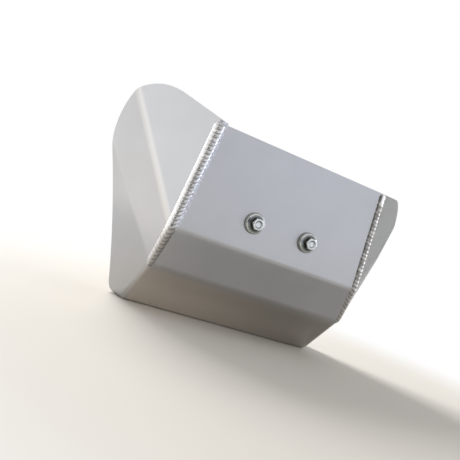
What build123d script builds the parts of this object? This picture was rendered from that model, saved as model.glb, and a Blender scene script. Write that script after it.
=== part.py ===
"""Motorcycle skid plate, folded from one aluminium sheet and welded along its two seams.

The origin is midway between the two front bolts, on the back of the front face, where the
plate bears on the frame. The front face looks along -Y, +Z is up and -X is the rider's right.
"""
import os
from math import cos, radians, sin, tan

from build123d import *

os.makedirs("parts", exist_ok=True)

# Sheet and the side profile of its centre strip, measured on the outer surface
sheet = 4.0
bolt_height = 27.0  # bolts above the first bend
face_height = 96.0  # front face, from the first bend to its top edge
middle_length = 38.0
lower_length = 64.0
belly_length = 230.0
middle_lean = 20.0  # degrees back from the front face
lower_lean = 46.0
first_bend_radius = 18.0
second_bend_radius = 14.0
belly_bend_radius = 12.0

# Half-widths of the centre strip, at its top edge and its three bends
right_halves = (88.0, 98.3, 101.6, 104.2)
left_halves = (90.0, 96.0, 100.0, 103.5)
half_shoulder = 106.5
half_rear = 80.0
shoulder_depth = 8.0  # belly behind the third bend that reaches out to the wings
rear_corner_radius = 22.0

# Wings: turn of each facet from the facet of the centre strip beside it
right_turns = (37.3, 53.0, 61.0)
left_turns = (40.0, 48.2, 61.0)
wing_bend_radius = 16.0
corner_radius = 6.0  # outside of the corner between centre strip and wing

# Wing outlines, drawn square to the middle facet from the seam's first bend
wing_overlap = 15.0  # past the seam, inside the centre strip
wing_foot = -84.6
wing_foot_radius = 12.0
right_top_start = (wing_overlap, 93)
right_crown_start = (-36.5, 111.5)
right_crown_fold = (-74.3, 104.4)  # where the crown crosses the bend between the wing's facets
right_crown_side = (-83.9, 88.4)
right_crown_end = (-88.7, 50)
right_rear_middle = (-79.3, 2)
right_rear_foot = (-73, -66)
right_foot_corner = (-73, wing_foot)
left_shoulder = 92.5
left_crown_corner = (82, 105.5)
left_crown_radius = 26.0
left_foot_corner = (75, wing_foot)
wing_reach = 80.0  # how far the outlines are carried to both sides

# Belly holes
rear_hole_spacing = 110.0
rear_hole_radius = 4.5
rear_hole_inset = 20.0
drain_hole_radius = 15.0
drain_hole_inset = 95.0  # from the rear edge

# Weld beads, each a row of round ripples that lean on one another
bead_radii = (5.0, 4.5, 3.2)  # at the top, the first bend and the second bend, where the bead runs out
bead_depth = 3.0  # bead's centre line below the seam's sharp corner
ripple_pitch = 3.8
ripple_length = 5.0
ripple_lean = 10.0  # degrees
ripple_sides = 12

# Front bolts and washers
bolt_spacing = 56.0
bolt_hole_radius = 4.5
washer_radius = 9.5
washer_thickness = 2.0
washer_hole_radius = 4.2
washer_chamfer = 0.3
grip_radius = 3.6  # plain shank through the washer and the sheet
thread_radius = 4.0
thread_length = 19.0  # behind the sheet
thread_chamfer = 1.0
flange_radius = 8.75
flange_edge = 1.4  # straight rim of the flange
flange_slope = 1.0  # rise of the flange from its rim to the hexagon
hexagon_width = 10.0
head_height = 8.0
head_top_radius = 4.7
head_slope = 30.0  # degrees, of the cone that takes off the hexagon's corners
dish_radius = 3.4
dish_depth = 1.2

# Blocks that are cut down to shape
reach = 700.0
clearance = 40.0  # in front of the origin


def solid_behind(faces, bends, depth):
    """Block that fills the space behind a run of bent faces, set back from them by depth."""
    with BuildPart() as block:
        with Locations((0, -clearance, 0)):
            Box(reach, reach, reach, align=(Align.CENTER, Align.MIN, Align.CENTER))
        for face in faces:
            split(bisect_by=face.offset(-depth), keep=Keep.BOTTOM)
        for point, radius in bends:
            fillet(block.edges().sort_by_distance(point)[0], radius - depth)
    return block.part


# Bend lines of the centre strip
def facet_run(lean, length):
    """Step down a facet of the centre strip that leans back by the given angle."""
    return Vector(0, sin(radians(lean)), -cos(radians(lean))) * length


first_bend = Vector(0, -sheet, -bolt_height)
top_edge = first_bend - facet_run(0, face_height)
second_bend = first_bend + facet_run(middle_lean, middle_length)
third_bend = second_bend + facet_run(lower_lean, lower_length)
belly_end = third_bend.Y + belly_length

strip_leans = (0, middle_lean, lower_lean, 90)
strip_faces = [
    Plane(origin=bend, x_dir=(1, 0, 0), z_dir=(0, -cos(radians(lean)), -sin(radians(lean))))
    for bend, lean in zip((first_bend, first_bend, second_bend, third_bend), strip_leans)
]
strip_bends = (
    (first_bend, first_bend_radius),
    (second_bend, second_bend_radius),
    (third_bend, belly_bend_radius),
)


# Seams and wing facets
def seam_corners(halves, side):
    """Ends of the seam's straight stretches, from the top edge down to the belly."""
    ends = (top_edge, first_bend, second_bend, third_bend)
    return [end + Vector(side * half, 0, 0) for end, half in zip(ends, halves)]


def wing_facets(corners, turns, side):
    """Outer planes of a wing, each turned about the seam from the strip's facet beside it."""
    facets = []
    for start, end, face, turn in zip(corners, corners[1:], strip_faces, turns):
        seam = Axis(start, end - start)
        normal = face.z_dir.rotate(seam, -side * turn)
        facets.append(Plane(origin=start, x_dir=seam.direction, z_dir=normal))
    return facets


def outline_plane(corners, facets):
    """Drawing plane square to a wing's middle facet, level, with its origin at the first bend."""
    normal = facets[1].z_dir
    return Plane(origin=corners[1], x_dir=Vector(0, 0, 1).cross(normal), z_dir=normal)


def inner_corner(corners, facets):
    """Point on the inside of the fold between the lower facet and the wing beside it."""
    bisector = (strip_faces[2].z_dir + facets[2].z_dir).normalized()
    return (corners[2] + corners[3]) / 2 - bisector * sheet / bisector.dot(facets[2].z_dir)


right_corners = seam_corners(right_halves, -1)
left_corners = seam_corners(left_halves, 1)
right_facets = wing_facets(right_corners, right_turns, -1)
left_facets = wing_facets(left_corners, left_turns, 1)
right_bends = [(corner, wing_bend_radius) for corner in right_corners[1:3]]
left_bends = [(corner, wing_bend_radius) for corner in left_corners[1:3]]

strip_block = solid_behind(strip_faces, strip_bends, 0)
right_block = solid_behind(right_facets, right_bends, 0)
left_block = solid_behind(left_facets, left_bends, 0)

# Space behind the whole outer surface, with the corners along the seams rounded
with BuildPart() as inside:
    add(strip_block)
    add(right_block, mode=Mode.INTERSECT)
    add(left_block, mode=Mode.INTERSECT)
    seam_edges = [
        inside.edges().sort_by_distance((start + end) / 2)[0]
        for corners in (right_corners, left_corners)
        for start, end in zip(corners, corners[1:])
    ]
    fillet(seam_edges, corner_radius)

# Centre strip, trimmed to its top edge and to the belly's plan
with BuildPart() as strip:
    add(strip_block)
    add(solid_behind(strip_faces, strip_bends, sheet), mode=Mode.SUBTRACT)
    add(inside.part, mode=Mode.INTERSECT)
    with BuildSketch(Plane.XY.offset(third_bend.Z)) as plan:
        shoulder_y = third_bend.Y + shoulder_depth
        with BuildLine() as plan_edge:
            Polyline(
                (-half_shoulder, -clearance),
                (half_shoulder, -clearance),
                (half_shoulder, shoulder_y),
                (half_rear, belly_end),
                (-half_rear, belly_end),
                (-half_shoulder, shoulder_y),
                close=True,
            )
        make_face()
        fillet(plan.vertices().group_by(Axis.Y)[-1], rear_corner_radius)
    extrude(amount=top_edge.Z - third_bend.Z, mode=Mode.INTERSECT)

# Right wing, with a rounded crown above the front face
with BuildPart() as right_wing:
    add(right_block)
    add(solid_behind(right_facets, right_bends, sheet), mode=Mode.SUBTRACT)
    add(inside.part, mode=Mode.INTERSECT)
    with BuildSketch(outline_plane(right_corners, right_facets)) as right_outline:
        with BuildLine() as right_edge:
            Polyline(right_rear_foot, right_foot_corner, (wing_overlap, wing_foot), right_top_start)
            top = Line(right_top_start, right_crown_start)
            TangentArc(right_crown_start, right_crown_fold, tangent=top % 1)
            ThreePointArc(right_crown_fold, right_crown_side, right_crown_end)
            ThreePointArc(right_crown_end, right_rear_middle, right_rear_foot)
        make_face()
        fillet(right_outline.vertices().sort_by_distance(right_foot_corner)[0], wing_foot_radius)
    extrude(amount=wing_reach, both=True, mode=Mode.INTERSECT)

# Left wing, level with the front face and with one round corner
with BuildPart() as left_wing:
    add(left_block)
    add(solid_behind(left_facets, left_bends, sheet), mode=Mode.SUBTRACT)
    add(inside.part, mode=Mode.INTERSECT)
    with BuildSketch(outline_plane(left_corners, left_facets)) as left_outline:
        with BuildLine() as left_edge:
            Polyline(
                (-wing_overlap, wing_foot),
                left_foot_corner,
                left_crown_corner,
                (-wing_overlap, left_shoulder),
                close=True,
            )
        make_face()
        fillet(left_outline.vertices().sort_by_distance(left_foot_corner)[0], wing_foot_radius)
        fillet(left_outline.vertices().sort_by_distance(left_crown_corner)[0], left_crown_radius)
    extrude(amount=wing_reach, both=True, mode=Mode.INTERSECT)

# Skid plate: the strip and both wings are one sheet
with BuildPart() as skid_plate:
    add(strip.part)
    add(right_wing.part)
    add(left_wing.part)
    inner_edges = [
        skid_plate.edges().sort_by_distance(inner_corner(corners, facets))[0]
        for corners, facets in ((right_corners, right_facets), (left_corners, left_facets))
    ]
    fillet(inner_edges, corner_radius - sheet)
    with BuildSketch(Plane.XZ) as bolt_holes:
        with GridLocations(bolt_spacing, 0, 2, 1):
            Circle(bolt_hole_radius)
    extrude(amount=sheet, mode=Mode.SUBTRACT)
    with BuildSketch(Plane.XY.offset(third_bend.Z)) as belly_holes:
        with Locations((0, belly_end - rear_hole_inset)):
            with GridLocations(rear_hole_spacing, 0, 2, 1):
                Circle(rear_hole_radius)
        with Locations((0, belly_end - drain_hole_inset)):
            Circle(drain_hole_radius)
    extrude(amount=sheet, mode=Mode.SUBTRACT)
skid_plate.part.label = "skid_plate"
export_step(skid_plate.part, "parts/skid_plate.step")


# Weld beads along the front face and the middle facet
def bead_line(corners, facets):
    """Corners of a weld bead's centre line, with the direction outwards at each."""
    upper = (strip_faces[0].z_dir + facets[0].z_dir).normalized()
    lower = (strip_faces[1].z_dir + facets[1].z_dir).normalized()
    outwards = (upper, (upper + lower).normalized(), lower)
    points = [corner - out * bead_depth for corner, out in zip(corners, outwards)]
    points[0] += (points[1] - points[0]).normalized() * bead_radii[0]
    return points, outwards


for name, corners, facets in (
    ("right_seam_weld", right_corners, right_facets),
    ("left_seam_weld", left_corners, left_facets),
):
    points, outwards = bead_line(corners, facets)
    with BuildPart() as weld:
        stretches = zip(points, points[1:], outwards, bead_radii, bead_radii[1:])
        for start, end, outward, start_radius, end_radius in stretches:
            run = end - start
            taper = start_radius - end_radius
            count = round(run.length / ripple_pitch)
            lean = run.rotate(Axis(start, run.cross(outward)), ripple_lean)
            for step in range(count):
                with BuildSketch(Plane(start + run * step / count, x_dir=outward, z_dir=lean)):
                    RegularPolygon(start_radius - taper * step / count, ripple_sides)
            extrude(amount=ripple_length)
        for end, radius in ((points[0], bead_radii[0]), (points[-1], bead_radii[-1])):
            with Locations(end):
                Sphere(radius)
        add(inside.part, mode=Mode.SUBTRACT)
    weld.part.label = name
    export_step(weld.part, f"parts/{name}.step")


# Front washers and bolts
grip_length = washer_thickness + sheet
shank_length = grip_length + thread_length
head_fall = (flange_radius - head_top_radius) * tan(radians(head_slope))
for side_name, side in (("right", -1), ("left", 1)):
    seat = Plane(origin=(side * bolt_spacing / 2, -sheet, 0), x_dir=(1, 0, 0), z_dir=(0, -1, 0))
    with BuildPart() as washer:
        with BuildSketch(seat):
            Circle(washer_radius)
            Circle(washer_hole_radius, mode=Mode.SUBTRACT)
        extrude(amount=washer_thickness)
        front_rim = washer.faces().sort_by(Axis.Y)[0].outer_wire().edges()
        chamfer(front_rim, washer_chamfer)
    washer.part.label = f"front_washer_{side_name}"
    export_step(washer.part, f"parts/front_washer_{side_name}.step")

    under_head = seat.offset(washer_thickness)
    section = Plane(origin=under_head.origin, x_dir=(1, 0, 0), z_dir=(0, 0, -1))
    bolt_axis = Axis(under_head.origin, under_head.z_dir)
    with BuildPart() as bolt:
        with BuildSketch(under_head):
            RegularPolygon(hexagon_width / 2, 6, major_radius=False)
        extrude(amount=head_height)
        with BuildSketch(section) as head_turning:
            with BuildLine():
                Polyline(
                    (0, 0),
                    (flange_radius, 0),
                    (flange_radius, head_height - head_fall),
                    (head_top_radius, head_height),
                    (0, head_height),
                    close=True,
                )
            make_face()
        revolve(axis=bolt_axis, mode=Mode.INTERSECT)
        with BuildSketch(section) as flange_and_shank:
            with BuildLine():
                Polyline(
                    (0, flange_edge + flange_slope),
                    (hexagon_width / 2, flange_edge + flange_slope),
                    (flange_radius, flange_edge),
                    (flange_radius, 0),
                    (grip_radius, 0),
                    (grip_radius, -grip_length),
                    (thread_radius, -grip_length),
                    (thread_radius, thread_chamfer - shank_length),
                    (thread_radius - thread_chamfer, -shank_length),
                    (0, -shank_length),
                    close=True,
                )
            make_face()
        revolve(axis=bolt_axis)
        with BuildSketch(under_head.offset(head_height)):
            Circle(dish_radius)
        extrude(amount=-dish_depth, mode=Mode.SUBTRACT)
    bolt.part.label = f"front_bolt_{side_name}"
    export_step(bolt.part, f"parts/front_bolt_{side_name}.step")
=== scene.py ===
from math import cos, pi, radians, sin, tan

import bmesh
import bpy
from mathutils import Matrix, Vector


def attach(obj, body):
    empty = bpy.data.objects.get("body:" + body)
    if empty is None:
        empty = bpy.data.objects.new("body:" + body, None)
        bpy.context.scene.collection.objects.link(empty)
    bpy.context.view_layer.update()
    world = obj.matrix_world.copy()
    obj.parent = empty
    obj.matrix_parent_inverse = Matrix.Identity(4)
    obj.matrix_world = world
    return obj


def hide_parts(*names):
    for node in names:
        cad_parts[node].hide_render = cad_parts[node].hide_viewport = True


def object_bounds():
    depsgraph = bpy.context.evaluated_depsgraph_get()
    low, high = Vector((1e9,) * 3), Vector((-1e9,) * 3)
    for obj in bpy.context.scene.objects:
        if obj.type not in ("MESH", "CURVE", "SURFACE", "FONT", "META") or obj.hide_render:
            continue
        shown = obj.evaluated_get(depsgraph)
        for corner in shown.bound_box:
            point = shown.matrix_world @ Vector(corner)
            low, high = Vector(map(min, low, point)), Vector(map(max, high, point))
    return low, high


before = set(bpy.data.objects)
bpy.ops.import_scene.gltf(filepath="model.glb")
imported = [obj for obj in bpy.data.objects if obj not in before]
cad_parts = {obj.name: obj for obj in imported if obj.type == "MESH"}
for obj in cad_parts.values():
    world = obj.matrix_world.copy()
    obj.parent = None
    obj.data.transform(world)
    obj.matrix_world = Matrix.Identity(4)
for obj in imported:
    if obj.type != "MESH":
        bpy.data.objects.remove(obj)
cad_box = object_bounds()


# Skid plate: one 4 mm aluminium sheet, cut with a laser and folded into a front, a belly and two wings.
# It keeps the mill's satin; its colour is painted with a highlight along the wings' upper bends and with
# bluish glints beside the right weld, and low down it has a warm dust tint that is painted lighter at the
# left end and darker towards the right as light and shade.
# The cut edges keep the fine lines of the laser, and a deburring wheel has broken their corners.
sheet_thickness = 0.004
edge_break = 0.0005
flat_angle = radians(0.2)  # faces that meet at less are one face
bend_angle = radians(30)  # edges below it are shaded as parts of a bend
cut_angle = radians(60)  # edges above it are cut and then broken
cut_face_width = 1.1 * sheet_thickness  # the most that a face of a cut edge measures
cut_face_side = 1.15 * sheet_thickness
satin_slot, bright_slot, laser_slot = range(3)
right_seam = ((-0.0880, -0.004, 0.069), (-0.0983, -0.004, -0.027), (-0.1016, 0.009, -0.0627))
left_seam = ((0.0900, -0.004, 0.069), (0.0960, -0.004, -0.027), (0.1000, 0.009, -0.0627))
wing_bends = (  # a point and the direction of each
    (right_seam[1], (-0.436, 0.396, 0.808)),
    (left_seam[1], (0.592, 0.527, 0.610)),
)
lower_facet_normal = (0.0, -0.695, -0.719)


def add_node(tree, kind, **settings):
    """New node of a tree, with its properties and its unlinked inputs set by name."""
    node = tree.nodes.new(kind)
    for key, value in settings.items():
        if hasattr(node, key):
            setattr(node, key, value)
        else:
            node.inputs[key.replace("_", " ")].default_value = value
    return node


def metal_finish(name):
    """Metal material with its surface shader and the object's own coordinates."""
    finish = bpy.data.materials.new(name)
    finish.use_nodes = True
    tree = finish.node_tree
    shader = tree.nodes["Principled BSDF"]
    shader.inputs["Metallic"].default_value = 1.0
    place = add_node(tree, "ShaderNodeTexCoord").outputs["Object"]
    return finish, tree, shader, place


def pattern(tree, vector, scale, detail, stretch=(1.0, 1.0, 1.0)):
    """Uneven pattern between 0 and 1, drawn out along the axes with a small stretch."""
    drawn = add_node(tree, "ShaderNodeMapping", Scale=stretch)
    noise = add_node(tree, "ShaderNodeTexNoise", Scale=scale, Detail=detail, Roughness=0.6)
    tree.links.new(vector, drawn.inputs["Vector"])
    tree.links.new(drawn.outputs[0], noise.inputs["Vector"])
    return noise.outputs["Fac"]


def blend(tree, factor, low, high):
    """Number or colour between two ends, each of them written out or taken from another node."""
    coloured = isinstance(high, tuple) or getattr(high, "type", "VALUE") == "RGBA"
    mix = add_node(tree, "ShaderNodeMix", data_type="RGBA" if coloured else "FLOAT")
    tree.links.new(factor, mix.inputs[0])
    for end, socket in zip((low, high), mix.inputs[6:8] if coloured else mix.inputs[2:4]):
        if isinstance(end, bpy.types.NodeSocket):
            tree.links.new(end, socket)
        else:
            socket.default_value = (*end, 1.0) if coloured else end
    return mix.outputs[2 if coloured else 0]


def paint(tree, shader, colour, *layers):
    """Gives a shader a colour with others laid over it, each through its mask."""
    for mask, tint in layers:
        colour = blend(tree, mask, colour, tint)
    tree.links.new(colour, shader.inputs["Base Color"])


def raise_surface(tree, shader, height, strength, depth):
    """Lets a pattern lift the surface of a shader."""
    relief = add_node(tree, "ShaderNodeBump", Strength=strength, Distance=depth)
    tree.links.new(height, relief.inputs["Height"])
    tree.links.new(relief.outputs[0], shader.inputs["Normal"])


def line_distance(tree, place, start, run, endless):
    """Distance of a surface point from a straight stretch, or from its whole line."""
    offset = add_node(tree, "ShaderNodeVectorMath", operation="SUBTRACT")
    offset.inputs[1].default_value = start
    along = add_node(tree, "ShaderNodeVectorMath", operation="DOT_PRODUCT")
    along.inputs[1].default_value = run / run.length_squared
    share = along.outputs["Value"]
    foot = add_node(tree, "ShaderNodeVectorMath", operation="SCALE")
    foot.inputs[0].default_value = run
    gap = add_node(tree, "ShaderNodeVectorMath", operation="DISTANCE")
    tree.links.new(place, offset.inputs[0])
    tree.links.new(offset.outputs[0], along.inputs[0])
    if not endless:
        held = add_node(tree, "ShaderNodeClamp")
        tree.links.new(share, held.inputs["Value"])
        share = held.outputs[0]
    tree.links.new(share, foot.inputs["Scale"])
    tree.links.new(offset.outputs[0], gap.inputs[0])
    tree.links.new(foot.outputs[0], gap.inputs[1])
    return gap.outputs["Value"]


def ramp(tree, value, first, last, start=0.0, end=1.0):
    """Soft step of a value, from start at first to end at last."""
    step = add_node(tree, "ShaderNodeMapRange", interpolation_type="SMOOTHSTEP")
    step.inputs["From Min"].default_value = first
    step.inputs["From Max"].default_value = last
    step.inputs["To Min"].default_value = start
    step.inputs["To Max"].default_value = end
    tree.links.new(value, step.inputs["Value"])
    return step.outputs["Result"]


def band(tree, distances, full, gone):
    """Mask that is 1 nearer to the nearest line than full, and 0 further from it than gone."""
    nearest = distances[0]
    for distance in distances[1:]:
        smaller = add_node(tree, "ShaderNodeMath", operation="MINIMUM")
        tree.links.new(nearest, smaller.inputs[0])
        tree.links.new(distance, smaller.inputs[1])
        nearest = smaller.outputs[0]
    return ramp(tree, nearest, full, gone, 1.0, 0.0)


def both(tree, *masks):
    """Product of masks, each of them a node's output."""
    product = masks[0]
    for mask in masks[1:]:
        times = add_node(tree, "ShaderNodeMath", operation="MULTIPLY")
        tree.links.new(product, times.inputs[0])
        tree.links.new(mask, times.inputs[1])
        product = times.outputs[0]
    return product


def axes(tree, place):
    """The three coordinates of a surface point."""
    parts = add_node(tree, "ShaderNodeSeparateXYZ")
    tree.links.new(place, parts.inputs[0])
    return parts.outputs


def mirrored(tree, place):
    """A surface point with its coordinates made positive, for what is the same on both sides."""
    positive = add_node(tree, "ShaderNodeVectorMath", operation="ABSOLUTE")
    tree.links.new(place, positive.inputs[0])
    return positive.outputs[0]


satin_sheet, tree, shader, place = metal_finish("satin_sheet")
cloud = pattern(tree, place, 14.0, 4.0)
grain = pattern(tree, place, 1.0, 3.0, (90.0, 1400.0, 1400.0))
speck = pattern(tree, place, 620.0, 3.0)
spot = axes(tree, place)
toe = line_distance(tree, place, right_seam[0], Vector(right_seam[1]) - Vector(right_seam[0]), False)
front_only = ramp(tree, spot["Y"], -0.0038, -0.0033, 1.0, 0.0)
between_wings = ramp(tree, axes(tree, mirrored(tree, place))["X"], 0.096, 0.106, 1.0, 0.0)
low_down = ramp(tree, spot["Z"], -0.072, -0.060, 1.0, 0.0)
outwards = add_node(tree, "ShaderNodeVectorMath", operation="DOT_PRODUCT")
outwards.inputs[1].default_value = lower_facet_normal
tree.links.new(place, outwards.inputs[0])
lower_facet = ramp(tree, outwards.outputs["Value"], 0.0355, 0.0380)
low_dust_and_shade = both(tree, low_down, between_wings, lower_facet)
# Painted glints: bluish-white speckles on the front beside the right weld's upper run.
toe_glints = both(tree, ramp(tree, toe, 0.0052, 0.0082, 1.0, 0.0), ramp(tree, speck, 0.46, 0.58), front_only)
bends = [line_distance(tree, place, start, Vector(run), True) for start, run in wing_bends]
# Painted highlight: a lighter colour along the wings' upper bends that widens their bright band.
bend_highlight = band(tree, bends, 0.0014, 0.0048)
metal = blend(tree, cloud, (0.398, 0.402, 0.417), (0.482, 0.486, 0.497))
# Dust tint with painted light and shade: warm, lighter at the left end of the lower facet and darker
# towards its right end.
dust_and_shade = blend(tree, ramp(tree, spot["X"], -0.10, 0.10), (0.585, 0.552, 0.508), (0.335, 0.317, 0.293))
paint(
    tree, shader, metal,
    (low_dust_and_shade, dust_and_shade),
    (bend_highlight, (0.53, 0.525, 0.52)),
    (toe_glints, (0.64, 0.67, 0.75)),
)
tree.links.new(blend(tree, grain, 0.29, 0.39), shader.inputs["Roughness"])
raise_surface(tree, shader, grain, 0.12, 0.00003)

bright_edge, tree, shader, place = metal_finish("bright_edge")
rub = pattern(tree, place, 420.0, 3.0)
paint(tree, shader, blend(tree, rub, (0.56, 0.565, 0.58), (0.70, 0.70, 0.71)))
tree.links.new(blend(tree, rub, 0.20, 0.38), shader.inputs["Roughness"])

laser_edge, tree, shader, place = metal_finish("laser_edge")
along_edge = add_node(tree, "ShaderNodeUVMap", uv_map="edge_run").outputs["UV"]
lines = pattern(tree, along_edge, 1.0, 2.0, (2.4, 0.10, 1.0))
paint(tree, shader, blend(tree, lines, (0.40, 0.40, 0.41), (0.56, 0.56, 0.57)))
tree.links.new(blend(tree, lines, 0.34, 0.50), shader.inputs["Roughness"])
raise_surface(tree, shader, lines, 0.35, 0.00012)

skin = bmesh.new()
skin.from_mesh(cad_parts["skid_plate"].data)
bmesh.ops.remove_doubles(skin, verts=skin.verts, dist=1e-6)
bmesh.ops.dissolve_limit(skin, angle_limit=flat_angle, verts=skin.verts, edges=skin.edges)
edge_run = skin.loops.layers.uv.new("edge_run")
for edge in skin.edges:
    edge.smooth = edge.calc_face_angle(0.0) < bend_angle
for face in skin.faces:
    face.smooth = True
    face.material_index = satin_slot
    sides = [edge for edge in face.edges if edge.calc_face_angle(0.0) < cut_angle]
    narrow = 2 * face.calc_area() / face.calc_perimeter() < cut_face_width
    short = all(edge.calc_length() < cut_face_side for edge in sides)
    if narrow and short and len(face.edges) - len(sides) >= 2:
        face.material_index = laser_slot
        through = min(sides or face.edges, key=lambda edge: edge.calc_length())
        across = (through.verts[1].co - through.verts[0].co).normalized()
        along = face.normal.cross(across)
        for corner in face.loops:
            corner[edge_run].uv = (corner.vert.co.dot(along) * 1000, corner.vert.co.dot(across) * 1000)
sheet_mesh = bpy.data.meshes.new("folded_sheet")
skin.to_mesh(sheet_mesh)
skin.free()
folded_sheet = bpy.data.objects.new("folded_sheet", sheet_mesh)
bpy.context.collection.objects.link(folded_sheet)
for finish in (satin_sheet, bright_edge, laser_edge):
    folded_sheet.data.materials.append(finish)
broken = folded_sheet.modifiers.new("edge_break", "BEVEL")
broken.width = edge_break
broken.segments = 3
broken.limit_method = "ANGLE"
broken.angle_limit = cut_angle
broken.material = bright_slot
broken.harden_normals = True
folded_sheet.modifiers.new("even_shading", "WEIGHTED_NORMAL").keep_sharp = True


def settle(piece):
    """Turns what a piece's modifiers make into its plain mesh."""
    view = bpy.context.evaluated_depsgraph_get()
    finished = bpy.data.meshes.new_from_object(piece.evaluated_get(view))
    piece.modifiers.clear()
    piece.data = finished
    finished.name = piece.name


settle(folded_sheet)
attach(folded_sheet, "root")
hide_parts("skid_plate")


# Seam welds: two beads of aluminium laid with a filler rod along the open corners of the folds.
# Each is a run of small puddles, laid from the bottom up, that froze one on the next as curved ripples.
# Their colour is painted with light and shade: bluish glints on the right one's inner flank, highlights on
# both wing-side flanks and on the left one's top end, and shade in the ripples' valleys, on the left one's
# crest and front flank, and low on the right one's wing side.
right_outwards = (  # out of the seam's corner, at its three points
    (-0.3180, -0.9475, 0.0341), (-0.3869, -0.9143, -0.1196), (-0.4445, -0.8542, -0.2698),
)
left_outwards = ((0.3414, -0.9397, 0.0213), (0.3782, -0.9170, -0.1269), (0.4061, -0.8724, -0.2720))
bead_depth = 0.0039  # centre line below the sharp corner of the seam
bead_radii = (0.0053, 0.0050, 0.0040)  # at the top, the first bend and the second bend
bead_sides = 56
bead_turn = 0.012  # radius of the path at the first bend
top_taper = 0.4  # length of each rounded end, in bead radii
bottom_taper = 2.0
bead_edge = 0.1  # rise over the seam, as a share of the radius, below which the bead is in the sheet
ripple_pitch = 0.0038
ripple_depth = 0.00055
ripple_lag = 0.0045  # how far a ripple's sides run ahead of its crest
ripple_steps = 11.0  # rings along each ripple
ripple_wander = 0.9  # how far the ripples stray from an even pitch, in pitches
weakest_ripple = 0.5
crest_shift = 0.7  # powers that move a ripple's crest along and round it off
crest_round = 0.75
back_lift = 0.9  # how far the back is drawn up to the front, as a share of its depth

weld_metal, tree, shader, place = metal_finish("weld_metal")
tone = add_node(tree, "ShaderNodeAttribute", attribute_name="ripple_tone").outputs["Fac"]
height = add_node(tree, "ShaderNodeAttribute", attribute_name="ripple_height").outputs["Fac"]
flank = add_node(tree, "ShaderNodeAttribute", attribute_name="ripple_flank").outputs["Fac"]
speck = pattern(tree, place, 900.0, 3.0)
spot = axes(tree, place)
right_bead = ramp(tree, spot["X"], -0.01, 0.01, 1.0, 0.0)
left_bead = ramp(tree, spot["X"], -0.01, 0.01)
upper_run = ramp(tree, spot["Z"], -0.040, -0.012)
lower_run = ramp(tree, spot["Z"], -0.040, -0.012, 0.6, 0.0)
# Painted shade: darker and browner on the right bead's wing side, low down.
lower_shade = both(tree, lower_run, right_bead, ramp(tree, flank, -0.85, -0.40))
patchy = ramp(tree, pattern(tree, place, 240.0, 2.0), 0.42, 0.62, 1.0, 0.25)
# Painted shade: a patchy darker band on the left bead's crest and front flank in its upper run.
front_flank_shade = both(tree, left_bead, ramp(tree, flank, -0.25, 0.20), upper_run, patchy)
valley = ramp(tree, height, 0.30, 0.97, 0.85, 0.0)
shaded = both(tree, valley, blend(tree, upper_run, 0.90, 1.0), ramp(tree, flank, -0.75, -0.30))
# Painted highlight: lighter on both beads' wing-side flanks in their upper runs.
wing_flank_highlight = both(tree, ramp(tree, flank, -0.93, -0.64, 1.0, 0.0), upper_run)
top_end = ramp(tree, spot["Z"], 0.056, 0.061)
# Painted highlight: lighter at the left bead's top end.
top_end_highlight = both(tree, left_bead, top_end, ramp(tree, flank, 0.0, 0.35, 1.0, 0.0))
# Painted glints: bluish-white speckles on the right bead's inner flank in its upper run.
flank_glints = both(tree, ramp(tree, flank, 0.12, 0.40), ramp(tree, speck, 0.38, 0.52), right_bead, upper_run)
paint(
    tree, shader, blend(tree, tone, (0.48, 0.475, 0.47), (0.62, 0.615, 0.61)),
    (lower_shade, (0.34, 0.315, 0.295)),
    (front_flank_shade, (0.22, 0.205, 0.19)),
    (shaded, (0.185, 0.177, 0.17)),
    (wing_flank_highlight, (0.76, 0.76, 0.765)),
    (top_end_highlight, (0.82, 0.82, 0.83)),
    (flank_glints, (0.64, 0.67, 0.75)),
)
tree.links.new(blend(tree, speck, 0.16, 0.34), shader.inputs["Roughness"])
raise_surface(tree, shader, speck, 0.20, 0.00008)

bead_tree = bpy.data.node_groups.new("rippled_bead", "GeometryNodeTree")
inputs = {}
for label, kind in (
    ("Geometry", "NodeSocketGeometry"),
    ("Pitch", "NodeSocketFloat"),
    ("Depth", "NodeSocketFloat"),
    ("Lag", "NodeSocketFloat"),
    ("Seed", "NodeSocketInt"),
    ("Material", "NodeSocketMaterial"),
):
    inputs[label] = bead_tree.interface.new_socket(label, in_out="INPUT", socket_type=kind).identifier
bead_tree.interface.new_socket("Geometry", in_out="OUTPUT", socket_type="NodeSocketGeometry")
given = bead_tree.nodes.new("NodeGroupInput").outputs


def bead_math(operation, *values):
    """Result of a sum in the bead's tree, from written numbers or other nodes' outputs."""
    node = add_node(bead_tree, "ShaderNodeMath", operation=operation)
    for value, socket in zip(values, node.inputs):
        if isinstance(value, bpy.types.NodeSocket):
            bead_tree.links.new(value, socket)
        else:
            socket.default_value = value
    return node.outputs[0]


def bead_vector(operation, first, second=None, scale=None):
    """Result of a vector sum in the bead's tree."""
    node = add_node(bead_tree, "ShaderNodeVectorMath", operation=operation)
    bead_tree.links.new(first, node.inputs[0])
    if second:
        bead_tree.links.new(second, node.inputs[1])
    if scale:
        bead_tree.links.new(scale, node.inputs["Scale"])
    return node.outputs["Value" if operation in ("DOT_PRODUCT", "LENGTH") else "Vector"]


def bead_step(kind, sources, **settings):
    """Node of the bead's tree, with its inputs joined to other nodes by name."""
    node = add_node(bead_tree, kind, **settings)
    for label, source in sources.items():
        bead_tree.links.new(source, node.inputs[label])
    return node


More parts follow.
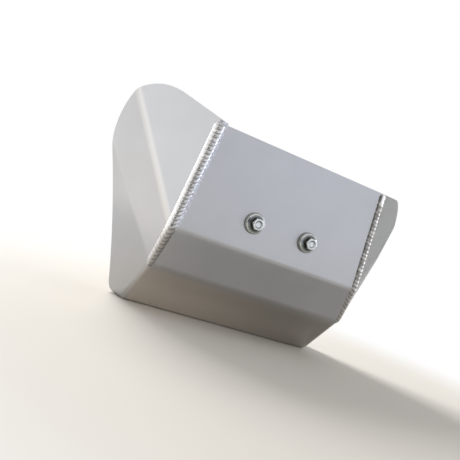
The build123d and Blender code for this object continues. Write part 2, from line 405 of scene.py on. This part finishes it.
# the path, rounded at the bend and tapered to a round end at both ends
path = bead_step("GeometryNodeMeshToCurve", {"Mesh": given["Geometry"]})
curved = bead_step(
    "GeometryNodeFilletCurve", {"Curve": path.outputs[0]}, mode="POLY", Count=10, Radius=bead_turn
)
ring_gap = bead_math("DIVIDE", given["Pitch"], ripple_steps)
fine = bead_step(
    "GeometryNodeResampleCurve", {"Curve": curved.outputs[0], "Length": ring_gap}, mode="LENGTH"
)
along = add_node(bead_tree, "GeometryNodeSplineParameter").outputs["Length"]
total = add_node(bead_tree, "GeometryNodeSplineLength").outputs["Length"]
swell = add_node(bead_tree, "GeometryNodeInputNamedAttribute", data_type="FLOAT", Name="swell").outputs[0]
from_top = bead_math("DIVIDE", along, bead_math("MULTIPLY", swell, top_taper))
remaining = bead_math("SUBTRACT", total, along)
from_bottom = bead_math("DIVIDE", remaining, bead_math("MULTIPLY", swell, bottom_taper))
share = bead_math("MINIMUM", bead_math("MINIMUM", from_top, from_bottom), 1.0)
taper = bead_math("SQRT", bead_math("MULTIPLY", share, bead_math("SUBTRACT", 2.0, share)))
girth = bead_math("MULTIPLY", swell, taper)
kept = add_node(bead_tree, "GeometryNodeCaptureAttribute", domain="POINT")
for kind, label in (("VECTOR", "Place"), ("FLOAT", "Along"), ("VECTOR", "Outwards")):
    kept.capture_items.new(kind, label)
outwards = add_node(bead_tree, "GeometryNodeInputNamedAttribute", data_type="FLOAT_VECTOR", Name="outwards")
position = add_node(bead_tree, "GeometryNodeInputPosition").outputs[0]
bead_tree.links.new(fine.outputs[0], kept.inputs["Geometry"])
bead_tree.links.new(position, kept.inputs["Place"])
bead_tree.links.new(along, kept.inputs["Along"])
bead_tree.links.new(bead_vector("NORMALIZE", outwards.outputs[0]), kept.inputs["Outwards"])
circle = add_node(bead_tree, "GeometryNodeCurvePrimitiveCircle", Resolution=bead_sides, Radius=1.0)
swept = bead_step(
    "GeometryNodeCurveToMesh",
    {"Curve": kept.outputs["Geometry"], "Profile Curve": circle.outputs[0], "Scale": girth},
)

# the ripples, numbered from the top down, each with its own strength and tone
spoke = bead_vector("SUBTRACT", position, kept.outputs["Place"])
ray = bead_vector("NORMALIZE", spoke)
rise = bead_vector("DOT_PRODUCT", ray, kept.outputs["Outwards"])
lag = bead_math("MULTIPLY", bead_math("SUBTRACT", 1.0, rise), given["Lag"])
wander = bead_step("ShaderNodeTexNoise", {"Vector": kept.outputs["Place"]}, Scale=140.0, Detail=1.0)
run = bead_math("DIVIDE", bead_math("ADD", kept.outputs["Along"], lag), given["Pitch"])
phase = bead_math("ADD", run, bead_math("MULTIPLY", wander.outputs["Fac"], ripple_wander))
number = bead_math("FLOOR", phase)
left_over = bead_math("SUBTRACT", 1.0, bead_math("FRACT", phase))
arch = bead_math("SINE", bead_math("MULTIPLY", bead_math("POWER", left_over, crest_shift), pi))
dome = bead_math("POWER", arch, crest_round)
strength = bead_step("FunctionNodeRandomValue", {"ID": number, "Seed": given["Seed"]}, data_type="FLOAT")
strength.inputs[2].default_value = weakest_ripple
strength.inputs[3].default_value = 1.0
tones = bead_step(
    "FunctionNodeRandomValue",
    {"ID": number, "Seed": bead_math("ADD", given["Seed"], 1.0)},
    data_type="FLOAT",
)
facing = bead_math("MAXIMUM", rise, bead_edge)
hollow = bead_math("MULTIPLY", bead_math("SUBTRACT", dome, 1.0), bead_math("MULTIPLY", facing, facing))
sunk = bead_math("MULTIPLY", bead_math("MULTIPLY", hollow, given["Depth"]), strength.outputs[1])
buried = bead_math("MAXIMUM", bead_math("SUBTRACT", bead_edge, rise), 0.0)
lifted = bead_math("MULTIPLY", bead_math("MULTIPLY", buried, back_lift), bead_vector("LENGTH", spoke))
shift = bead_vector(
    "ADD",
    bead_vector("SCALE", ray, scale=sunk),
    bead_vector("SCALE", kept.outputs["Outwards"], scale=lifted),
)
rippled = bead_step("GeometryNodeSetPosition", {"Geometry": swept.outputs[0], "Offset": shift})
outer_side = bead_math("SIGN", axes(bead_tree, kept.outputs["Place"])["X"])
inwards = bead_math("MULTIPLY", axes(bead_tree, ray)["X"], bead_math("MULTIPLY", outer_side, -1.0))
noted = rippled
for label, value in (("tone", tones.outputs[1]), ("height", dome), ("flank", inwards)):
    noted = bead_step(
        "GeometryNodeStoreNamedAttribute",
        {"Geometry": noted.outputs[0], "Value": value},
        data_type="FLOAT",
        Name="ripple_" + label,
    )
closed = bead_step("GeometryNodeMergeByDistance", {"Geometry": noted.outputs[0]}, Distance=0.00001)
soft = bead_step("GeometryNodeSetShadeSmooth", {"Geometry": closed.outputs[0]})
whole = bead_step("GeometryNodeRealizeInstances", {"Geometry": soft.outputs[0]})
coated = bead_step("GeometryNodeSetMaterial", {"Geometry": whole.outputs[0], "Material": given["Material"]})
made = bead_tree.nodes.new("NodeGroupOutput")
bead_tree.links.new(coated.outputs[0], made.inputs["Geometry"])

for node, seam, outward, seed in (
    ("right_seam_weld", right_seam, right_outwards, 3),
    ("left_seam_weld", left_seam, left_outwards, 8),
):
    top, middle, bottom = (Vector(c) - Vector(out) * bead_depth for c, out in zip(seam, outward))
    bottom += (bottom - middle).normalized() * bead_radii[2]
    line = bpy.data.meshes.new(node + "_bead")
    line.from_pydata((top, middle, bottom), ((0, 1), (1, 2)), ())
    directions = line.attributes.new("outwards", "FLOAT_VECTOR", "POINT")
    for point, direction in zip(directions.data, outward):
        point.vector = direction
    line.attributes.new("swell", "FLOAT", "POINT").data.foreach_set("value", bead_radii)
    bead = bpy.data.objects.new(node + "_bead", line)
    bpy.context.collection.objects.link(bead)
    ripples = bead.modifiers.new("ripples", "NODES")
    ripples.node_group = bead_tree
    ripples[inputs["Pitch"]] = ripple_pitch
    ripples[inputs["Depth"]] = ripple_depth
    ripples[inputs["Lag"]] = ripple_lag
    ripples[inputs["Seed"]] = seed
    ripples[inputs["Material"]] = weld_metal
    settle(bead)
    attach(bead, "root")
    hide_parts(node)


# Front washers: stamped steel rings, bright zinc plated, between the bolts and the sheet.
# The front edge is rolled over by the punch and the back edge is sharp.
bolt_offset = 0.028
round_columns = 96
washer_seat = -0.004
washer_section = (  # radius and height in mm
    (4.2, 0.2), (4.4, 0.0), (9.3, 0.0), (9.5, 0.2), (9.5, 1.4), (9.43, 1.68), (9.28, 1.88), (9.0, 2.0),
    (4.6, 2.0), (4.35, 1.93), (4.2, 1.75),
)

zinc_plate, tree, shader, place = metal_finish("zinc_plate")
bloom = pattern(tree, place, 340.0, 3.0)
reach = line_distance(tree, mirrored(tree, place), (bolt_offset, 0.0, 0.0), Vector((0.0, 1.0, 0.0)), True)
back = axes(tree, place)["Y"]
in_head = both(tree, ramp(tree, back, -0.0138, -0.0124), ramp(tree, back, -0.0066, -0.0056, 1.0, 0.0))
in_dish = ramp(tree, reach, 0.0034, 0.0040, 1.0, 0.0)
outside_dish = ramp(tree, reach, 0.0034, 0.0040)
# Painted shade: darker on the hexagon's sides and the flange round them, darkest at the hexagon's foot.
head_shade = both(tree, ramp(tree, reach, 0.0072, 0.0084, 1.0, 0.0), in_head, outside_dish)
corner = both(tree, ramp(tree, reach, 0.0058, 0.0068, 1.0, 0.0), in_head, outside_dish)
# Painted shade: dark in the corner of the dish in the head's top.
dish_shade = both(tree, in_dish, ramp(tree, reach, 0.0018, 0.0030), in_head)
# Painted shade: dark in the grooves of the thread behind the sheet.
thread_shade = both(tree, ramp(tree, reach, 0.0034, 0.0039, 1.0, 0.0), ramp(tree, back, 0.0, 0.0010))
# Painted shade: dark at the outer rims of the flange and the washer.
washer_rim_shade = ramp(tree, reach, 0.0086, 0.0090)
paint(
    tree, shader, blend(tree, bloom, (0.40, 0.43, 0.43), (0.74, 0.76, 0.76)),
    (head_shade, (0.20, 0.22, 0.22)),
    (corner, (0.07, 0.075, 0.07)),
    (dish_shade, (0.07, 0.075, 0.08)),
    (thread_shade, (0.17, 0.175, 0.17)),
    (washer_rim_shade, (0.24, 0.235, 0.22)),
)
tree.links.new(blend(tree, bloom, 0.10, 0.26), shader.inputs["Roughness"])
raise_surface(tree, shader, bloom, 0.35, 0.0005)


def turned_piece(name, rings, centre, seat, ends_closed):
    """Mesh through rings of (radius, height) pairs, in mm in front of a seat on a bolt's axis."""
    solid = bmesh.new()
    columns = len(rings[0])
    loops = []
    for ring in rings:
        loop = []
        for step, (radius, height) in enumerate(ring):
            angle = 2 * pi * step / columns
            across = centre + radius * cos(angle) / 1000
            loop.append(solid.verts.new((across, seat - height / 1000, radius * sin(angle) / 1000)))
        loops.append(loop)
    following = loops[1:] if ends_closed else loops[1:] + loops[:1]
    for inner, outer in zip(loops, following):
        for step in range(columns):
            after = (step + 1) % columns
            solid.faces.new((inner[step], outer[step], outer[after], inner[after])).smooth = True
    if ends_closed:
        solid.faces.new(loops[0])
        solid.faces.new(loops[-1])
    bmesh.ops.recalc_face_normals(solid, faces=solid.faces)
    mesh = bpy.data.meshes.new(name)
    solid.to_mesh(mesh)
    solid.free()
    piece = bpy.data.objects.new(name, mesh)
    bpy.context.collection.objects.link(piece)
    piece.data.materials.append(zinc_plate)
    return piece


for side_name, side in (("right", -1), ("left", 1)):
    rings = [[pair] * round_columns for pair in washer_section]
    washer = turned_piece("zinc_washer_" + side_name, rings, side * bolt_offset, washer_seat, False)
    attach(washer, "root")
    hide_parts("front_washer_" + side_name)


# Front bolts: cold-headed M8 flange bolts in zinc plated steel, screwed through the sheet into the frame.
# Forging leaves a round dish in the head and soft edges on its six flats; the thread is rolled.
bolt_seat = -0.006
flat_half_width = 5.0  # this and all below in mm
head_height = 8.0
crown_radius = 4.7
crown_slope = tan(radians(30))
side_height = 5.0
flange_radius = 8.75
flange_rim = 1.4
flange_slope = 1 / 3.75
dish_section = (
    (0.6, 6.8), (2.2, 6.82), (2.75, 6.92), (3.1, 7.2), (3.35, 7.75), (3.48, 7.95), (3.7, 8.0), (4.3, 8.0),
)
rim_section = ((8.6, 1.4), (8.72, 1.25), (8.75, 1.05), (8.75, 0.3), (8.7, 0.1), (8.5, 0.0))
shank_section = ((4.0, 0.0), (3.68, -0.08), (3.6, -0.4), (3.6, -5.6))
thread_start = -6.0
thread_end = -25.0
thread_pitch = 1.25
thread_middle = 3.68
thread_depth = 0.32
thread_rows = 10  # in each turn
point_length = 1.0
point_share = 0.78  # radius at the tip, as a share of the thread's


def hexagon(step):
    """Radius of the six-sided head at one of the columns round it."""
    angle = 2 * pi * step / round_columns
    return flat_half_width / cos(angle % (pi / 3) - pi / 6)


def cone(radius):
    """Height of the turned cone that takes the corners off the top of the head."""
    return head_height - max(0.0, radius - crown_radius) * crown_slope


def flange(radius):
    """Height of the sloping top of the flange."""
    return flange_rim + (flange_radius - radius) * flange_slope


def thread(height, step):
    """Radius of the right-handed thread at a height and column."""
    rise = (-height / thread_pitch + step / round_columns) % 1
    run_out = min(1.0, (height - thread_end) / point_length)
    narrowing = point_share + (1 - point_share) * run_out
    return (thread_middle + thread_depth * cos(2 * pi * rise)) * narrowing


head_radii = [hexagon(step) for step in range(round_columns)]
bolt_rings = [[pair] * round_columns for pair in dish_section]
for inset, drop in ((0.55, 0.0), (0.18, 0.02), (0.06, 0.09), (0.0, 0.28)):
    bolt_rings.append([(radius - inset, cone(radius - inset) - drop) for radius in head_radii])
bolt_rings.append([(radius, side_height) for radius in head_radii])
for outset, lift in ((0.0, 0.45), (0.06, 0.16), (0.22, 0.03), (0.5, 0.0)):
    bolt_rings.append([(radius + outset, flange(radius + outset) + lift) for radius in head_radii])
slope_section = tuple((radius, flange(radius)) for radius in (7.2, 8.35))
bolt_rings += [[pair] * round_columns for pair in slope_section + rim_section + shank_section]
rows = round((thread_start - thread_end) / thread_pitch * thread_rows)
for row in range(rows + 1):
    height = thread_start + (thread_end - thread_start) * row / rows
    bolt_rings.append([(thread(height, step), height) for step in range(round_columns)])

for side_name, side in (("right", -1), ("left", 1)):
    bolt = turned_piece("zinc_bolt_" + side_name, bolt_rings, side * bolt_offset, bolt_seat, True)
    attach(bolt, "root")
    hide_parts("front_bolt_" + side_name)


# Floor: a pale warm board under the belly, which fades into the white of the surroundings.
# It keeps the soft shadow of the plate.
floor_level = cad_box[0][2]
floor_reach = 6.0
floor_corners = ((-1, -1), (1, -1), (1, 1), (-1, 1))
fade_centre = (0.06, -0.06, floor_level)
fade_start = 0.22  # distances from the centre
fade_end = 0.45
floor_mesh = bpy.data.meshes.new("floor")
floor_mesh.from_pydata(
    [(x * floor_reach, y * floor_reach, floor_level) for x, y in floor_corners],
    (),
    [(0, 1, 2, 3)],
)
floor = bpy.data.objects.new("floor", floor_mesh)
bpy.context.collection.objects.link(floor)


def seen_or_mirrored(tree):
    """Mask that is 1 where the camera sees a surface, also in a mirror or through glass."""
    rays = add_node(tree, "ShaderNodeLightPath")
    seen = add_node(tree, "ShaderNodeMath", operation="MAXIMUM")
    either = add_node(tree, "ShaderNodeMath", operation="MAXIMUM")
    tree.links.new(rays.outputs["Is Camera Ray"], seen.inputs[0])
    tree.links.new(rays.outputs["Is Glossy Ray"], seen.inputs[1])
    tree.links.new(seen.outputs[0], either.inputs[0])
    tree.links.new(rays.outputs["Is Transmission Ray"], either.inputs[1])
    return either.outputs[0]


pale_board = bpy.data.materials.new("pale_board")
pale_board.use_nodes = True
tree = pale_board.node_tree
tree.nodes.remove(tree.nodes["Principled BSDF"])
board = add_node(tree, "ShaderNodeBsdfDiffuse", Color=(0.85, 0.81, 0.745, 1.0))
glow = add_node(tree, "ShaderNodeEmission", Color=(1.0, 1.0, 1.0, 1.0), Strength=1.0)
fade = add_node(tree, "ShaderNodeMixShader")
away = add_node(tree, "ShaderNodeVectorMath", operation="DISTANCE")
away.inputs[1].default_value = fade_centre
tree.links.new(add_node(tree, "ShaderNodeTexCoord").outputs["Object"], away.inputs[0])
faded = both(tree, ramp(tree, away.outputs["Value"], fade_start, fade_end), seen_or_mirrored(tree))
tree.links.new(faded, fade.inputs["Fac"])
tree.links.new(board.outputs[0], fade.inputs[1])
tree.links.new(glow.outputs[0], fade.inputs[2])
tree.links.new(fade.outputs[0], tree.nodes["Material Output"].inputs["Surface"])
floor.data.materials.append(pale_board)

# Surroundings: white where they are seen or mirrored, and a weaker even light everywhere else
world = bpy.data.worlds.new("surroundings")
bpy.context.scene.world = world
world.use_nodes = True
tree = world.node_tree
light = blend(tree, seen_or_mirrored(tree), (0.43, 0.433, 0.44), (1.0, 1.0, 1.0))
tree.links.new(light, tree.nodes["Background"].inputs["Color"])


# Lamps: soft boxes round the plate, and three that lie on the floor and stand for the light it throws back.
# The camera sees none of them.
plate_middle = Vector((0.0, 0.03, 0.0))
upwards = Vector((0.0, 0.0, 1.0))


def soft_box(name, spot, width, height, brightness, colour=(1.0, 1.0, 1.0), lying=False):
    """Lamp with the brightness of its surface, which faces the middle of the plate or lies and faces up."""
    lamp = bpy.data.lights.new(name, "AREA")
    lamp.shape = "RECTANGLE"
    lamp.size = width
    lamp.size_y = height
    lamp.energy = brightness * pi * width * height
    lamp.color = colour
    holder = bpy.data.objects.new(name, lamp)
    bpy.context.collection.objects.link(holder)
    holder.location = spot
    heading = upwards if lying else plate_middle - Vector(spot)
    holder.rotation_euler = heading.to_track_quat("-Z", "Y").to_euler()
    holder.visible_camera = False


soft_box("high_lamp", (-0.55, 1.00, 1.05), 0.8, 0.8, 10.0, (1.0, 0.99, 0.97))
soft_box("left_box", (-1.30, -0.50, 0.20), 1.0, 1.0, 0.64, (1.0, 0.99, 0.97))
soft_box("low_left_strip", (-0.80, 0.00, -0.05), 0.5, 0.10, 0.35, (1.0, 0.90, 0.78))
soft_box("floor_glow", (-0.46, 0.08, -0.10), 0.36, 0.40, 0.48, (1.0, 0.87, 0.70), True)
soft_box("under_strip", (0.0, 0.044, -0.1066), 0.21, 0.026, 0.10, (1.0, 0.94, 0.86), True)
soft_box("front_strip", (0.03, -0.036, -0.1066), 0.30, 0.044, 0.08, (1.0, 0.97, 0.93), True)
soft_box("left_back_box", (-1.00, 0.70, 0.15), 0.7, 0.7, 1.9, (1.0, 0.97, 0.93))
soft_box("right_strip", (1.15, -0.25, 0.42), 0.20, 0.90, 4.0)
soft_box("front_sky", (0.70, -1.36, 0.10), 1.0, 1.0, 0.24, (0.40, 0.56, 1.0))


# Cards: a grey one on the right that the left wing mirrors, and a dark one behind the camera.
# The camera sees neither of them.
def stand_card(name, corners, colour):
    """Matt card with a colour, through four corners."""
    sheet = bpy.data.meshes.new(name)
    sheet.from_pydata(corners, (), [(0, 1, 2, 3)])
    card = bpy.data.objects.new(name, sheet)
    bpy.context.collection.objects.link(card)
    card.visible_camera = False
    matt = bpy.data.materials.new(name)
    matt.use_nodes = True
    surface = matt.node_tree.nodes["Principled BSDF"]
    surface.inputs["Base Color"].default_value = (*colour, 1.0)
    surface.inputs["Roughness"].default_value = 0.9
    sheet.materials.append(matt)


stand_card(
    "grey_card",
    [(0.95, 0.05, -0.10), (0.70, 1.00, -0.10), (0.70, 1.00, 0.60), (0.95, 0.05, 0.60)],
    (0.53, 0.54, 0.55),
)
stand_card(
    "dark_card",
    [(-0.72, -0.80, -0.10), (-0.10, -1.08, -0.10), (-0.10, -1.08, 0.30), (-0.72, -0.80, 0.30)],
    (0.05, 0.05, 0.05),
)

# Camera, close in front on the right of the motorcycle and rolled as the plate was photographed
focal_pixels = 531
picture_pixels = 460
lens = bpy.data.cameras.new("camera")
lens.sensor_width = 36.0
lens.lens = focal_pixels / picture_pixels * lens.sensor_width
lens.clip_start = 0.01
camera = bpy.data.objects.new("camera", lens)
bpy.context.collection.objects.link(camera)
right = Vector((0.8734, -0.3480, 0.3408))
up = Vector((-0.3112, 0.1396, 0.9400))
stand = Matrix((right, up, right.cross(up))).transposed().to_4x4()
stand.translation = (-0.2190, -0.4282, -0.0063)
camera.matrix_world = stand
bpy.context.scene.camera = camera
bpy.context.scene.view_settings.view_transform = "Standard"
